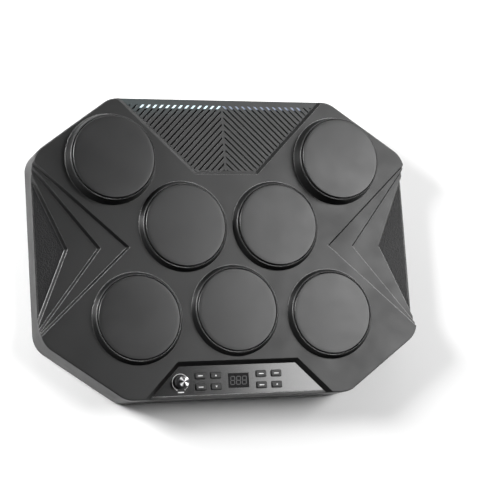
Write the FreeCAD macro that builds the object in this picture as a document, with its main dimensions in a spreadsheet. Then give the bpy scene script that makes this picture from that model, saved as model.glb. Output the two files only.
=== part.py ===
"""Tabletop electronic drum pad: seven playing pads on an eight-sided housing, in millimetres.

The frame is +Z up, with its origin at the centre of the plan, at the undersides of the feet.
The speaker grille is at +Y (rear) and the control panel at -Y (front).
"""
import FreeCAD, Part
import Sketcher
import math
import os
import re

SIZES = {
    # Eight-sided plan
    "half_width": 235.5,
    "half_depth": 178.75,
    "corner_across": 139.2,
    "corner_along": 110.1,
    "corner_radius": 28,
    "edge_radius": 1.2,
    "wall": 3,
    "side_wall": 4,
    # Heights above the table
    "foot_height": 3,
    "cover_top": 6,
    "deck": 48,
    "side_ceiling": 28.5,
    "deck_ceiling": 45,
    # Cavity under the deck, between the terraces, the grille and the panel
    "cavity_apex": 112,
    "cavity_across": 200,
    "cavity_side_low": 88,
    "cavity_side_high": 122,
    "cavity_corner_across": 142,
    "cavity_corner_along": 163,
    "cavity_grille_across": 126,
    "cavity_grille_along": 166,
    "cavity_grille_half": 43,
    "cavity_grille_front": 83,
    "cavity_panel_across": 116,
    "cavity_panel_half": 81,
    "cavity_panel_rear": -131,
    # Playing pads
    "collar_base": 54.5,
    "collar_taper": 3.3,
    "collar_round": 1.6,
    "well_radius": 50,
    "low_rim": 7.6,
    "high_rim": 14.1,
    "front_proud": 1.3,
    "rear_proud": 3,
    "foam_height": 3,
    "plate_height": 1.5,
    "head_height": 4.5,
    "head_radius": 49.2,
    "head_round": 1.5,
    "plate_radius": 48.6,
    "foam_outer": 47,
    "foam_inner": 36,
    "hollow_radius": 46,
    "rear_pad_across": 142.7,
    "rear_pad_along": 104.4,
    "middle_pad_across": 58.15,
    "middle_pad_along": 24.1,
    "front_pad_across": 120.7,
    "front_pad_along": -83.95,
    "centre_pad_along": -77.1,
    # Side terraces: apex distance and slope of each chevron
    "step_height": 5,
    "step_bevel": 2.2,
    "first_apex": 125,
    "first_slope": 0.925,
    "second_apex": 159,
    "second_slope": 1.266,
    "third_apex": 197,
    "third_slope": 2.29,
    "terrace_reach": 250,
    "insert_thickness": 1.2,
    "insert_gap": 0.2,
    "insert_lip": 2,
    # Speaker grille
    "grille_front": 87.4,
    "grille_front_half": 39.7,
    "grille_depth": 1.6,
    "grille_bevel": 3.6,
    "grille_thickness": 2,
    "grille_ledge": 2,
    "opening_rear": 173.6,
    "slot_pitch": 8,
    "slot_width": 2.7,
    "slot_rear": 171.8,
    "slot_margin": 0.6,
    "slot_front_margin": 4.4,
    "window_width": 3,
    "window_depth": 3.8,
    "window_rear": 172,
    "windows_per_side": 13,
    "light_bar_bottom": 37.5,
    "cloth_thickness": 0.5,
    "speaker_across": 34,
    "speaker_along": 136,
    "speaker_radius": 28,
    # Control panel
    "panel_rear": -135.7,
    "panel_rear_half": 75,
    "panel_depth": 5,
    "overlay_thickness": 1.2,
    "overlay_front": -175,
    "overlay_gap": 0.15,
    "panel_ceiling": 39.4,
    "control_row": -159.5,
    "display_width": 25.4,
    "display_depth": 16.8,
    "display_rim": 1.7,
    "button_width": 12,
    "button_depth": 6.5,
    "button_proud": 1.8,
    "button_round": 1.4,
    "button_gap": 0.3,
    "button_inner": 28.4,
    "button_outer": 47.6,
    "button_rear": -152.7,
    "button_front": -166,
    "button_flange": 0.9,
    "flange_height": 1.2,
    "button_travel": 0.8,
    "knob_across": -71.9,
    "knob_radius": 7,
    "knob_bottom": 43.6,
    "knob_top": 58,
    "knob_cap_height": 1,
    "knob_cap_radius": 6.2,
    "shaft_radius": 3,
    "shaft_clearance": 0.05,
    "bushing_radius": 4,
    "board_top": 34.6,
    "board_thickness": 1.6,
    # Underside and rear connections
    "foot_across": 195,
    "foot_along": 95,
    "foot_middle": 160,
    "post_pilot": 16,
    "screw_head_height": 1.5,
    "board_post_across": 60,
    "board_post_rear": -146,
    "board_post_front": -170.5,
    "main_board_along": 50,
    "main_board_width": 100,
    "main_board_depth": 66,
    "main_board_post": 6,
    "cell_gap": 3,
    "foot_radius": 11,
    "screw_radius": 1.5,
    "post_radius": 4,
    "post_side_across": 222,
    "post_side_along": 70,
    "post_corner_across": 150,
    "post_corner_along": 160,
    "battery_along": -30,
    "battery_width": 112,
    "battery_depth": 58,
    "battery_top": 24,
    "cell_radius": 7.1,
    "cell_length": 50,
    "jack_height": 24,
    "jack_bore": 1.8,
    "jack_body": 4,
    "jack_depth": 14,
    "jack_first": -100,
    "jack_pitch": 20,
    "switch_across": 95,
    "switch_travel": 4,
    "port_across": 79,
    "port_height": 36,
    "port_width": 7,
    "port_pitch": 11,
    "port_depth": 10,
    "port_mouth_height": 2.2,
    "port_wall": 1.1,
    "jack_case_width": 10,
    "jack_case_depth": 13,
    "jack_case_height": 9.4,
    "slider_width": 5,
    "slider_height": 4,
    "slider_case_width": 20,
    "slider_case_depth": 8,
    # Parts inside
    "control_board_across": -10,
    "control_board_shift": 1.5,
    "control_board_width": 154,
    "control_board_depth": 27,
    "tact_size": 6,
    "pot_size": 12,
    "skirt_height": 3,
    "piezo_radius": 13,
    "piezo_thickness": 1,
    "basket_radius": 14,
    "basket_depth": 12,
    "magnet_radius": 15,
    "magnet_height": 6,
    "cell_pitch": 16.33,
    "door_gap": 0.6,
    "door_thickness": 2,
}

doc = FreeCAD.newDocument("DrumPad")
sheet = doc.addObject("Spreadsheet::Sheet", "Size")
for row, (alias, value) in enumerate(SIZES.items(), start=1):
    sheet.set(f"A{row}", alias)
    sheet.set(f"B{row}", str(value))
    sheet.setAlias(f"B{row}", alias)
doc.recompute()

NODES = {}


def size(alias):
    """Value of one cell of the sheet."""
    return float(getattr(sheet, alias))


def cell(expression):
    """Expression with each size name turned into a reference to its cell."""
    return re.sub(r"[a-z_]+", lambda m: "Size." + m[0] if m[0] in SIZES else m[0], str(expression))


def bind(item, **properties):
    """Bind properties to sheet expressions; a double underscore stands for a dot."""
    for name, expression in properties.items():
        item.setExpression(name.replace("__", "."), cell(expression))
    return item


def node(item, name):
    """Register an object as one physical piece under its own label."""
    item.Label = name
    NODES[name] = item
    return item


# Sketches and features of a body

def new_body(name):
    return node(doc.addObject("PartDesign::Body", name + "_body"), name)


def new_sketch(body, name, height, role="XY_Plane"):
    """Empty sketch on an origin plane of its own body, moved along that plane's normal."""
    plane = next(item for item in body.Origin.OriginFeatures if item.Role == role)
    sketch = body.newObject("Sketcher::SketchObject", name)
    sketch.AttachmentSupport = (plane, "")
    sketch.MapMode = "FlatFace"
    return bind(sketch, AttachmentOffset__Base__z=height)


def dimension(sketch, kind, places, expression):
    """One driving dimension bound to the sheet."""
    index = sketch.addConstraint(Sketcher.Constraint(kind, *places, 1.0))
    sketch.setExpression(f"Constraints[{index}]", cell(expression))


def add_polygon(sketch, corners):
    """Closed loop whose corners are each dimensioned from the origin."""
    count = len(corners)
    turn = 2 * math.pi / count
    spots = [FreeCAD.Vector(50 * math.cos(turn * k), 50 * math.sin(turn * k), 0) for k in range(count)]
    first = sketch.GeometryCount
    for k in range(count):
        sketch.addGeometry(Part.LineSegment(spots[k], spots[(k + 1) % count]))
    for k in range(count):
        following = first + (k + 1) % count
        sketch.addConstraint(Sketcher.Constraint("Coincident", first + k, 2, following, 1))
    for k, (across, along) in enumerate(corners):
        dimension(sketch, "DistanceX", (-1, 1, first + k, 1), across)
        dimension(sketch, "DistanceY", (-1, 1, first + k, 1), along)


def add_circle(sketch, across, along, radius):
    index = sketch.addGeometry(Part.Circle(FreeCAD.Vector(1, 1, 0), FreeCAD.Vector(0, 0, 1), 5))
    dimension(sketch, "Radius", (index,), radius)
    dimension(sketch, "DistanceX", (-1, 1, index, 3), across)
    dimension(sketch, "DistanceY", (-1, 1, index, 3), along)


def rectangle(across, along, width, depth):
    """Corners of a rectangle from its centre and full sizes, as expressions."""
    left, right = (f"{across} - ({width}) / 2", f"{across} + ({width}) / 2")
    front, rear = (f"{along} - ({depth}) / 2", f"{along} + ({depth}) / 2")
    return [(left, front), (right, front), (right, rear), (left, rear)]


def mirrored(corners):
    return [(f"-({across})", along) for across, along in corners]


def feature(body, kind, name, sketch, length, taper=None, reverse=False):
    """Pad or Pocket of a sketch; a Pocket cuts down unless it is reversed."""
    item = body.newObject("PartDesign::" + kind, name)
    item.Profile = sketch
    item.Reversed = reverse
    bind(item, Length=length)
    if taper:
        bind(item, TaperAngle=taper)
    sketch.Visibility = False
    doc.recompute()
    return item


def cut(body, name, height, loops, depth, taper=None, reverse=False, role="XY_Plane"):
    """Pocket of polygon loops that has to remove material."""
    before = body.Shape.Volume
    sketch = new_sketch(body, name + "_outline", height, role)
    for corners in loops:
        add_polygon(sketch, corners)
    item = feature(body, "Pocket", name, sketch, depth, taper, reverse)
    if body.Shape.Volume >= before:
        raise RuntimeError(name + " removes nothing")
    return item


def cut_circles(body, name, height, circles, depth, reverse=False, role="XY_Plane"):
    """Pocket of circles (across, along, radius) that has to remove material."""
    before = body.Shape.Volume
    sketch = new_sketch(body, name + "_outline", height, role)
    for circle in circles:
        add_circle(sketch, *circle)
    item = feature(body, "Pocket", name, sketch, depth, reverse=reverse)
    if body.Shape.Volume >= before:
        raise RuntimeError(name + " removes nothing")
    return item


def add_circles(body, name, height, circles, length, taper=None):
    sketch = new_sketch(body, name + "_outline", height)
    for circle in circles:
        add_circle(sketch, *circle)
    return feature(body, "Pad", name, sketch, length, taper)


def extrude(body, name, height, corners, length):
    sketch = new_sketch(body, name + "_outline", height)
    add_polygon(sketch, corners)
    return feature(body, "Pad", name, sketch, length)


def edge_names(base, wanted):
    return [f"Edge{k}" for k, edge in enumerate(base.Shape.Edges, start=1) if wanted(edge)]


def round_edges(body, name, wanted, radius):
    """Fillet the edges of the newest feature that pass a test."""
    base = body.Tip
    names = edge_names(base, wanted)
    item = body.newObject("PartDesign::Fillet", name)
    item.Base = (base, names)
    bind(item, Radius=radius)
    doc.recompute()
    return item


def is_upright(edge):
    box = edge.BoundBox
    return box.ZLength > 1 and box.XLength < 0.01 and box.YLength < 0.01


def lies_at(height):
    """Test for an edge that lies flat at one height."""
    return lambda edge: edge.BoundBox.ZLength < 0.01 and abs(edge.BoundBox.ZMin - height) < 0.01


# Part primitives

def box(name, across, along, bottom, width, depth, height):
    """Box from the centre of its plan and its bottom."""
    item = doc.addObject("Part::Box", name)
    bind(item, Length=width, Width=depth, Height=height)
    return bind(item, Placement__Base__x=f"{across} - ({width}) / 2",
                Placement__Base__y=f"{along} - ({depth}) / 2", Placement__Base__z=bottom)


def cylinder(name, across, along, bottom, radius, height):
    item = doc.addObject("Part::Cylinder", name)
    bind(item, Radius=radius, Height=height)
    return bind(item, Placement__Base__x=across, Placement__Base__y=along, Placement__Base__z=bottom)


def cone(name, across, along, bottom, low_radius, high_radius, height):
    item = doc.addObject("Part::Cone", name)
    bind(item, Radius1=low_radius, Radius2=high_radius, Height=height)
    return bind(item, Placement__Base__x=across, Placement__Base__y=along, Placement__Base__z=bottom)


def minus(name, base, tool):
    item = doc.addObject("Part::Cut", name)
    item.Base = base
    item.Tool = tool
    return item


def group(name, items, kind="Part::Compound"):
    """Several like solids as one node, or fused into one solid with Part::MultiFuse."""
    item = doc.addObject(kind, name)
    setattr(item, "Links" if kind == "Part::Compound" else "Shapes", items)
    return item


# Outlines shared by several pieces

def octagon(inset="0"):
    """Eight-sided plan, moved in from the walls by an inset."""
    quarter = [(f"half_width - {inset}", f"corner_along - {inset} * 0.35"),
               (f"corner_across - {inset} * 0.35", f"half_depth - {inset}")]
    left = mirrored(quarter)[::-1]
    rear = quarter + left
    front = [(across, f"-({along})") for across, along in rear[::-1]]
    return rear + front


def chevron(apex, slope, inset="0"):
    """Triangle from an apex near the pads out past the side wall, on the +X side."""
    tip = f"{apex} + {inset}"
    rise = f"(terrace_reach - {tip}) * {slope}"
    return [(tip, "0"), ("terrace_reach", rise), ("terrace_reach", f"-({rise})")]


def grille_outline(rear, inset="0"):
    """Trapezoid with 45 degree sides, moved in from the recess edge by an inset."""
    front = f"grille_front + ({inset})"
    half = f"grille_front_half - ({inset}) * tan(22.5)"
    rear_half = f"{half} + {rear} - ({front})"
    return [(half, front), (rear_half, rear), (f"-({rear_half})", rear), (f"-({half})", front)]


def panel_outline(front, inset="0"):
    """Trapezoid of the control panel, open to the front, with 45 degree sides."""
    rear = f"panel_rear - ({inset})"
    half = f"panel_rear_half - ({inset}) * tan(22.5)"
    front_half = f"{half} + {rear} - ({front})"
    return [(half, rear), (f"-({half})", rear), (f"-({front_half})", front), (front_half, front)]


PADS = {
    "rear_left": ("-rear_pad_across", "rear_pad_along", "high_rim", "rear_proud"),
    "rear_right": ("rear_pad_across", "rear_pad_along", "high_rim", "rear_proud"),
    "middle_left": ("-middle_pad_across", "middle_pad_along", "low_rim", "rear_proud"),
    "middle_right": ("middle_pad_across", "middle_pad_along", "low_rim", "rear_proud"),
    "front_left": ("-front_pad_across", "front_pad_along", "low_rim", "front_proud"),
    "front_centre": ("0", "centre_pad_along", "low_rim", "front_proud"),
    "front_right": ("front_pad_across", "front_pad_along", "low_rim", "front_proud"),
}
STACK = "(foam_height + plate_height + head_height)"


def well_floor(pad):
    """Height of the floor that a pad's foam rests on."""
    _, _, rim, proud = PADS[pad]
    return f"deck + {rim} + {proud} - {STACK}"


BUTTON_SPOTS = [(across, along) for along in ("button_rear", "button_front")
                for across in ("-button_outer", "-button_inner", "button_inner", "button_outer")]
BUTTON_NAMES = [f"button_{row}_{k}" for row in ("rear", "front") for k in range(1, 5)]

POSTS = [(f"{sx}{across}", f"{sy}{along}")
         for across, along in (("post_side_across", "post_side_along"),
                               ("post_corner_across", "post_corner_along"))
         for sx in ("", "-") for sy in ("", "-")]
BOARD_POSTS = [(across, along) for across in ("-board_post_across", "board_post_across")
               for along in ("board_post_rear", "board_post_front")]


# Moulded housing

def cut_terraces(body):
    """Three chevron steps on each side, and the seats of the textured inserts."""
    bevel = "-atan(step_bevel / step_height)"
    steps = [("first", "deck"), ("second", "deck - step_height"), ("third", "deck - 2 * step_height")]
    for name, height in steps:
        loop = chevron(f"{name}_apex", f"{name}_slope")
        cut(body, f"{name}_step_right", height, [loop], "step_height", bevel)
        cut(body, f"{name}_step_left", height, [mirrored(loop)], "step_height", bevel)
    seat = insert_outline("0")
    cut(body, "insert_seats", "deck - 3 * step_height", [seat, mirrored(seat)], "insert_thickness")


def insert_outline(gap):
    """Trapezoid-like field of the lowest terrace, inside the side wall's lip."""
    edge = f"half_width - insert_lip - {gap}"
    start = f"(third_apex + step_bevel + 1 + {gap})"
    rise = f"({edge} - {start}) * third_slope"
    return [(start, "0"), (edge, rise), (edge, f"-({rise})")]


def cut_lower_cavity(body):
    """Hollow the housing from below up to the height that clears the lowest terraces."""
    inner = octagon("side_wall")
    cut(body, "lower_cavity", "cover_top", [inner], "side_ceiling - cover_top", reverse=True)

    def is_cavity_corner(edge):
        return is_upright(edge) and edge.BoundBox.ZMax < size("side_ceiling") + 1

    round_edges(body, "cavity_corners", is_cavity_corner, "corner_radius - side_wall")


def cut_cavities(body):
    """Deepen the cavity under the deck, the control panel and the raised rear pads."""
    right_rear = [("cavity_apex", "0"), ("cavity_across", "cavity_side_low"),
                  ("cavity_across", "cavity_side_high"), ("cavity_corner_across", "cavity_corner_along"),
                  ("cavity_grille_across", "cavity_grille_along"),
                  ("cavity_grille_half", "cavity_grille_front")]
    right_front = [("cavity_panel_half", "cavity_panel_rear"),
                   ("cavity_panel_across", "-cavity_grille_along"),
                   ("cavity_corner_across", "-cavity_corner_along"),
                   ("cavity_across", "-cavity_side_high"), ("cavity_across", "-cavity_side_low")]
    loop = right_rear + mirrored(right_rear)[::-1] + mirrored(right_front)[::-1] + right_front
    cut(body, "deck_cavity", "cover_top", [loop], "deck_ceiling - cover_top", reverse=True)
    panel = panel_outline("overlay_front + wall", "-4")
    cut(body, "panel_cavity", "cover_top", [panel], "panel_ceiling - cover_top", reverse=True)
    hollows = [PADS[pad][:2] + ("hollow_radius",) for pad in ("rear_left", "rear_right")]
    top = f"{well_floor('rear_left')} - wall - cover_top"
    cut_circles(body, "rear_hollows", "cover_top", hollows, top, reverse=True)


def add_collars(body):
    """Raised round collars with rounded rims, and the wells that hold the pads."""
    for rim in ("low_rim", "high_rim"):
        circles = [PADS[pad][:2] + ("collar_base",) for pad in PADS if PADS[pad][2] == rim]
        add_circles(body, f"{rim}_collars", "deck", circles, rim, f"-atan(collar_taper / {rim})")
        round_edges(body, f"{rim}_round", lies_at(size("deck") + size(rim)), "collar_round")


def cut_wells(body):
    for pad, (across, along, rim, _) in PADS.items():
        height = f"deck + {rim}"
        depth = f"{height} - ({well_floor(pad)})"
        cut_circles(body, f"{pad}_well", height, [(across, along, "well_radius")], depth)
        floor = well_floor(pad)
        cut_circles(body, f"{pad}_wire_hole", floor, [(across, along, "2 * wall")], "4 * wall")


def cut_grille_recess(body):
    """Bevelled recess open to the rear, a seat for the grille and an opening inside the seat."""
    rear = "half_depth + 10"
    bevel = "-atan(grille_bevel / grille_depth)"
    cut(body, "grille_recess", "deck", [grille_outline(rear)], "grille_depth", bevel)
    seat = grille_outline(rear, "grille_bevel")
    cut(body, "grille_seat", "deck - grille_depth", [seat], "grille_thickness")
    opening = grille_outline("opening_rear", "grille_bevel + grille_ledge")
    cut(body, "grille_opening", "deck - grille_depth - grille_thickness", [opening], "deck")


def panel_windows(gap, display_inset):
    """Openings for the display and the buttons."""
    display = rectangle("0", "control_row", f"display_width + 2 * {gap} - 2 * {display_inset}",
                        f"display_depth + 2 * {gap} - 2 * {display_inset}")
    width = f"button_width + 2 * {gap}"
    depth = f"button_depth + 2 * {gap}"
    return [display] + [rectangle(across, along, width, depth) for across, along in BUTTON_SPOTS]


def cut_panel_recess(body):
    """Recess with 45 degree walls, open to the front, and everything that passes its floor."""
    front = "-half_depth - 10"
    cut(body, "panel_recess", "deck", [panel_outline(front)], "panel_depth", "-atan(1)")
    floor = "deck - panel_depth"
    seat = panel_outline("overlay_front", "panel_depth")
    cut(body, "overlay_seat", floor, [seat], "overlay_thickness")
    windows = panel_windows("button_gap", "display_rim")
    cut(body, "panel_windows", floor, windows, "panel_depth")
    hole = [("knob_across", "control_row", "bushing_radius + button_gap")]
    cut_circles(body, "bushing_hole", floor, hole, "panel_depth")


def cut_connections(body):
    """Openings in the rear and front walls; sketches stand on the plane across the depth."""
    jacks = [(f"jack_first + {k} * jack_pitch", "jack_height", "jack_body + shaft_clearance")
             for k in range(3)]
    behind = "-(half_depth - 8)"
    cut_circles(body, "jack_holes", behind, jacks, "10", role="XZ_Plane")
    slot = rectangle("switch_across + switch_travel / 2", "jack_height", "5.6 + switch_travel", "4.4")
    cut(body, "switch_slot", behind, [slot], "10", role="XZ_Plane")
    ports = [rectangle(f"port_across + {side} * port_pitch / 2", "port_height", "port_width", "4.6")
             for side in (-1, 1)]
    cut(body, "port_slots", "half_depth + 1", ports, "2 * side_wall", role="XZ_Plane")


def build_top_housing():
    body = new_body("top_housing")
    extrude(body, "shell", "cover_top", octagon(), "deck - cover_top")
    round_edges(body, "corners", is_upright, "corner_radius")
    round_edges(body, "deck_edge", lies_at(size("deck")), "edge_radius")
    cut_lower_cavity(body)
    add_collars(body)
    cut_terraces(body)
    cut_grille_recess(body)
    cut_panel_recess(body)
    cut_cavities(body)
    cut_wells(body)
    posts = [(across, along, "post_radius") for across, along in POSTS]
    add_circles(body, "screw_posts", "cover_top", posts, "side_ceiling + 1 - cover_top")
    pilots = [(across, along, "screw_radius + shaft_clearance") for across, along in POSTS]
    cut_circles(body, "pilot_holes", "cover_top", pilots, "post_pilot", reverse=True)
    boards = [(across, along, "screw_radius + 1") for across, along in BOARD_POSTS]
    add_circles(body, "board_posts", "board_top", boards, "panel_ceiling + 1 - board_top")
    cut_connections(body)


def build_bottom_cover():
    """Cover plate with a battery box, screw holes and posts for the main board."""
    body = new_body("bottom_cover")
    extrude(body, "plate", "foot_height", octagon(), "cover_top - foot_height")
    round_edges(body, "corners", is_upright, "corner_radius")
    box_outline = rectangle("0", "battery_along", "battery_width + 2 * wall", "battery_depth + 2 * wall")
    extrude(body, "battery_box", "foot_height", box_outline, "battery_top + 2 - foot_height")
    hollow = rectangle("0", "battery_along", "battery_width", "battery_depth")
    cut(body, "battery_hollow", "foot_height", [hollow], "battery_top - foot_height", reverse=True)
    shanks = [(across, along, "screw_radius + 0.2") for across, along in POSTS]
    cut_circles(body, "screw_holes", "cover_top", shanks, "wall")
    heads = [(across, along, "2 * screw_radius + 0.2") for across, along in POSTS]
    cut_circles(body, "head_recesses", "foot_height", heads, "1.8", reverse=True)
    posts = [(f"{sx} (main_board_width / 2 - 6)",
              f"main_board_along {sy} (main_board_depth / 2 - 5)", "wall")
             for sx in "+-" for sy in "+-"]
    add_circles(body, "main_board_posts", "cover_top", posts, "main_board_post")


def build_underside():
    """Battery door, cells, feet and the screws of the housing."""
    node(box("door", "0", "battery_along", "foot_height", "battery_width - door_gap",
             "battery_depth - door_gap", "door_thickness"), "battery_door")
    cells = []
    for k in range(6):
        across = f"{(k % 2) - 0.5} * (cell_length + cell_gap)"
        along = f"battery_along + {k // 2 - 1} * cell_pitch"
        cell_item = cylinder(f"cell_{k}", f"{across} - cell_length / 2", along,
                             "foot_height + cell_gap + cell_radius", "cell_radius", "cell_length")
        cell_item.Placement.Rotation = FreeCAD.Rotation(FreeCAD.Vector(0, 1, 0), 90)
        cells.append(cell_item)
    node(group("cells", cells), "battery_cells")
    spots = [(f"{sx}foot_across", f"{sy}foot_along") for sx in ("", "-") for sy in ("", "-")]
    spots += [("0", "foot_middle"), ("0", "-foot_middle")]
    feet = [cone(f"foot_{k}", *spot, "0", "foot_radius - 1", "foot_radius", "foot_height")
            for k, spot in enumerate(spots)]
    node(group("feet", feet), "rubber_feet")
    screws = []
    for k, spot in enumerate(POSTS):
        head = cylinder(f"head_{k}", *spot, "foot_height + 0.3", "2 * screw_radius",
                        "screw_head_height")
        shank = cylinder(f"shank_{k}", *spot, "foot_height + 0.3 + screw_head_height",
                         "screw_radius", "post_pilot")
        screws.append(group(f"screw_{k}", [head, shank], "Part::MultiFuse"))
    node(group("screws", screws), "housing_screws")


# Speaker grille: a slotted plate whose slot field is cut in one go

def solid_from(corners, bottom, height):
    """Upright prism over a closed polygon of (across, along) numbers."""
    points = [FreeCAD.Vector(x, y, bottom) for x, y in corners]
    face = Part.Face(Part.makePolygon(points + points[:1]))
    return face.extrude(FreeCAD.Vector(0, 0, height))


def slanted(across, along, width, run, side):
    """Parallelogram with 45 degree sides that runs towards the front and away from the middle."""
    half = width / 2
    return [(side * (across - half), along), (side * (across + half), along),
            (side * (across + half + run), along - run), (side * (across - half + run), along - run)]


def across_at(k, along):
    """Distance of the k-th slot's centre line from the middle, at one distance from the front."""
    window_centre = size("window_rear") - size("window_depth") / 2
    return (k + 0.5) * size("slot_pitch") + window_centre - along


def window_solids(inset, bottom, height):
    """Light windows, or with an inset the light guides that fill them."""
    rear = size("window_rear") - inset
    depth = size("window_depth") - 2 * inset
    width = size("window_width") - 2 * inset
    return [solid_from(slanted(across_at(k, rear), rear, width, depth, side), bottom, height)
            for side in (-1, 1) for k in range(int(size("windows_per_side")))]


def slot_solids(side, bottom, height):
    """Slots of one half of the grille, clipped to the half's own field."""
    inset = size("grille_bevel") + size("slot_margin")
    front = size("grille_front") + size("slot_front_margin")
    rear = size("slot_rear")
    half = size("grille_front_half") + front - size("grille_front") - inset * math.sqrt(2)
    rib = size("slot_width") / 2
    field = solid_from([(side * rib, front), (side * half, front),
                        (side * (half + rear - front), rear), (side * rib, rear)], bottom, height)
    run = rear - front
    first = -math.ceil(run / size("slot_pitch"))
    slots = [solid_from(slanted(across_at(k, rear), rear, size("slot_width"), run, side), bottom, height)
             for k in range(first, int(size("windows_per_side")) + 2)]
    return [solid for slot in slots for solid in field.common(slot).Solids]


def static_node(name, shape):
    """Node whose shape comes straight from Part functions."""
    item = doc.addObject("Part::Feature", name + "_shape")
    item.Shape = shape
    item.Placement = FreeCAD.Placement()
    return node(item, name)


def build_speaker_grille():
    """Trapezoid plate with nested 45 degree slots and a row of light windows at their rear ends."""
    thickness = size("grille_thickness")
    bottom = size("deck") - size("grille_depth") - thickness
    inset = size("grille_bevel") + 0.1
    front = size("grille_front") + inset
    half = size("grille_front_half") - inset * math.tan(math.radians(22.5))
    rear = size("half_depth")
    reach = half + rear - front
    plate = solid_from([(half, front), (reach, rear), (-reach, rear), (-half, front)], bottom, thickness)
    for side in (-1, 1):
        plate = plate.cut(slot_solids(side, bottom, thickness))
    plate = plate.cut(window_solids(0, bottom, thickness))
    static_node("speaker_grille", plate.Solids[0])


def build_light_bar():
    """Bar with slanted light guides that stand up into the windows of the grille."""
    seat = size("deck") - size("grille_depth") - size("grille_thickness")
    bottom = size("light_bar_bottom")
    rear = size("window_rear") + 0.6
    front = rear - size("window_depth") - 1.2
    half = (size("windows_per_side") + 0.3) * size("slot_pitch")
    bar = solid_from([(half, front), (half, rear), (-half, rear), (-half, front)], bottom, seat - bottom)
    guides = window_solids(0.15, seat - 0.5, size("grille_thickness") + 0.3)
    bar = bar.fuse(guides).removeSplitter()
    static_node("led_light_bar", bar.Solids[0])
    board = box("led_board_blank", "0", "window_rear - window_depth / 2",
                "light_bar_bottom - board_thickness", "2 * windows_per_side * slot_pitch",
                "window_depth + 2", "board_thickness")
    node(board, "led_board")


def build_speakers():
    """Cloth under the grille and two round speakers below it."""
    cloth_top = "deck - grille_depth - grille_thickness"
    body = new_body("grille_cloth")
    outline = grille_outline("window_rear - window_depth - 1.2", "grille_bevel + grille_ledge + 0.3")
    extrude(body, "sheet", f"{cloth_top} - cloth_thickness", outline, "cloth_thickness")
    frames, cones, magnets = [], [], []
    flange = f"{cloth_top} - cloth_thickness - 2"
    for k, across in enumerate(("-speaker_across", "speaker_across")):
        place = (across, "speaker_along")
        rim = cylinder(f"rim_{k}", *place, flange, "speaker_radius", "2")
        basket = cone(f"basket_{k}", *place, f"{flange} - basket_depth", "basket_radius",
                      "speaker_radius - 2", "basket_depth")
        outside = group(f"outside_{k}", [rim, basket], "Part::MultiFuse")
        inside = cone(f"inside_{k}", *place, f"{flange} - basket_depth + 2", "basket_radius - 2",
                      "speaker_radius - 4", "basket_depth")
        frames.append(minus(f"frame_{k}", outside, inside))
        bowl = cone(f"bowl_{k}", *place, f"{flange} - 9", "8", "speaker_radius - 6", "10")
        hollow = cone(f"bowl_hollow_{k}", *place, f"{flange} - 8", "7", "speaker_radius - 7", "9")
        cones.append(minus(f"cone_{k}", bowl, hollow))
        magnets.append(cylinder(f"magnet_{k}", *place, f"{flange} - basket_depth - magnet_height",
                                "magnet_radius", "magnet_height"))
    node(group("frames", frames), "speaker_frames")
    node(group("cones", cones), "speaker_cones")
    node(group("magnets", magnets), "speaker_magnets")


def build_side_inserts():
    for side in ("right", "left"):
        body = new_body("side_insert_" + side)
        outline = insert_outline("insert_gap")
        outline = outline if side == "right" else mirrored(outline)
        bottom = "deck - 3 * step_height - insert_thickness"
        extrude(body, side + "_plate", bottom, outline, "insert_thickness")


def build_panel():
    """Glossy overlay, display, boards and switches of the control panel."""
    floor = "deck - panel_depth"
    seat = f"{floor} - overlay_thickness"
    body = new_body("panel_overlay")
    outline = panel_outline("overlay_front + overlay_gap", "panel_depth + overlay_gap")
    extrude(body, "overlay", seat, outline, "overlay_thickness")
    cut(body, "overlay_windows", floor, panel_windows("button_gap", "0"), "overlay_thickness")
    hole = [("knob_across", "control_row", "bushing_radius + button_gap")]
    cut_circles(body, "overlay_hole", floor, hole, "overlay_thickness")
    node(box("window", "0", "control_row", seat, "display_width + 0.3", "display_depth + 0.3",
             "overlay_thickness"), "display_window")
    node(box("module", "0", "control_row", "board_top", "display_width - 2 * display_rim",
             "display_depth - 2 * display_rim", "deck - panel_depth - overlay_thickness - board_top"),
         "display_module")
    node(box("board", "control_board_across", "control_row + control_board_shift",
             "board_top - board_thickness", "control_board_width", "control_board_depth",
             "board_thickness"), "control_board")
    travel_space = "panel_ceiling - flange_height - 0.1 - button_travel - 0.1"
    switches = [box(f"tact_{k}", *spot, "board_top", "tact_size", "tact_size",
                    f"{travel_space} - board_top")
                for k, spot in enumerate(BUTTON_SPOTS)]
    node(group("tacts", switches), "tact_switches")


def build_buttons():
    """Push buttons: a rounded cap with a flange under the panel floor that keeps it in."""
    for name, (across, along) in zip(BUTTON_NAMES, BUTTON_SPOTS):
        body = new_body(name)
        flange_bottom = "panel_ceiling - flange_height - 0.1"
        wide = rectangle("0", "0", "button_width + 2 * button_flange",
                         "button_depth + 2 * button_flange")
        extrude(body, name + "_flange", flange_bottom, wide, "flange_height")
        top = "deck - panel_depth + button_proud"
        cap = rectangle("0", "0", "button_width", "button_depth")
        extrude(body, name + "_cap", f"{flange_bottom} + flange_height", cap,
                f"{top} - ({flange_bottom} + flange_height)")
        peak = size("deck") - size("panel_depth") + size("button_proud")

        def is_cap_corner(edge):
            return is_upright(edge) and edge.BoundBox.ZMax > size("panel_ceiling") + 1.5

        round_edges(body, name + "_corners", is_cap_corner, "button_round")
        round_edges(body, name + "_top", lies_at(peak), "0.5")
        bind(body, Placement__Base__x=across, Placement__Base__y=along)


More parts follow.
